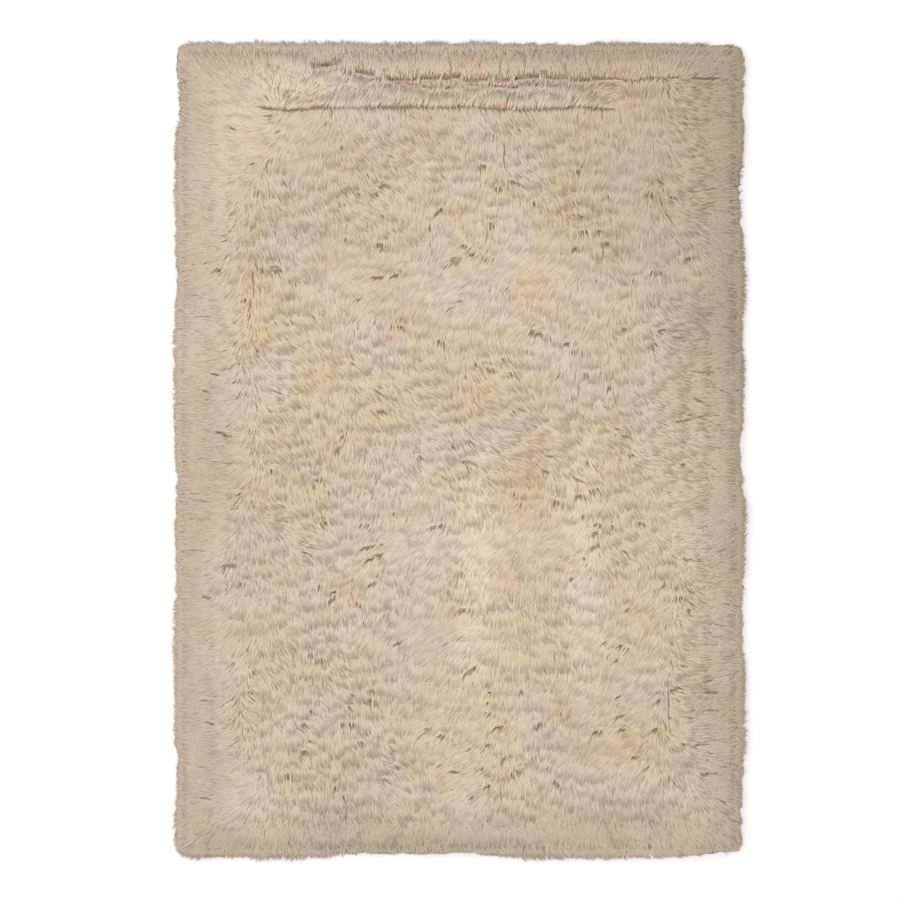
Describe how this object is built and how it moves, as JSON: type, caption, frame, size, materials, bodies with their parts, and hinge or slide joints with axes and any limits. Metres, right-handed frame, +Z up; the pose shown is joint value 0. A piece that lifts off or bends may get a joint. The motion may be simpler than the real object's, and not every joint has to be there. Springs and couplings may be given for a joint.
{
  "type": "long wool area rug",
  "caption": "Rectangular long-wool sheepskin area rug: pelt panels sewn edge to edge over felt and a cloth lining, with a taped edge, lying flat.",
  "frame": {"origin": "on the floor, under the middle of the rug", "axes": "+Z up, +Y along the length towards the head end, where the two narrow strips are, +X across the width"},
  "size_m": [1.4, 2, 0.0462],
  "materials": {
    "wool": "matte",
    "pelt": "matte",
    "seam_tape": "matte",
    "edge_tape": "matte",
    "felt": "matte",
    "lining": "matte"
  },
  "bodies": {
    "root": {"cloth_lining": "lining", "edge_tape_foot": "edge_tape", "edge_tape_head": "edge_tape", "edge_tape_left": "edge_tape", "edge_tape_right": "edge_tape", "felt_interlining": "felt", "field_lower_left_hide": "pelt", "field_lower_left_wool": "wool", "field_lower_right_hide": "pelt", "field_lower_right_wool": "wool", "field_middle_left_hide": "pelt", "field_middle_left_wool": "wool", "field_middle_right_hide": "pelt", "field_middle_right_wool": "wool", "field_upper_left_hide": "pelt", "field_upper_left_wool": "wool", "field_upper_right_hide": "pelt", "field_upper_right_wool": "wool", "foot_strip_left_hide": "pelt", "foot_strip_left_wool": "wool", "foot_strip_right_hide": "pelt", "foot_strip_right_wool": "wool", "head_strip_left_hide": "pelt", "head_strip_left_wool": "wool", "head_strip_right_hide": "pelt", "head_strip_right_wool": "wool", "left_side_lower_hide": "pelt", "left_side_lower_wool": "wool", "left_side_upper_hide": "pelt", "left_side_upper_wool": "wool", "right_side_lower_hide": "pelt", "right_side_lower_wool": "wool", "right_side_upper_hide": "pelt", "right_side_upper_wool": "wool", "seam_tape_field_above_lower": "seam_tape", "seam_tape_field_above_middle": "seam_tape", "seam_tape_field_lower_middle": "seam_tape", "seam_tape_field_middle_middle": "seam_tape", "seam_tape_field_upper_middle": "seam_tape", "seam_tape_foot": "seam_tape", "seam_tape_foot_join": "seam_tape", "seam_tape_head": "seam_tape", "seam_tape_head_join": "seam_tape", "seam_tape_left_side": "seam_tape", "seam_tape_left_side_join": "seam_tape", "seam_tape_right_side": "seam_tape", "seam_tape_right_side_join": "seam_tape", "seam_tape_upper": "seam_tape", "seam_tape_upper_join": "seam_tape", "upper_strip_left_hide": "pelt", "upper_strip_left_wool": "wool", "upper_strip_right_hide": "pelt", "upper_strip_right_wool": "wool"}
  },
  "joints": []
}
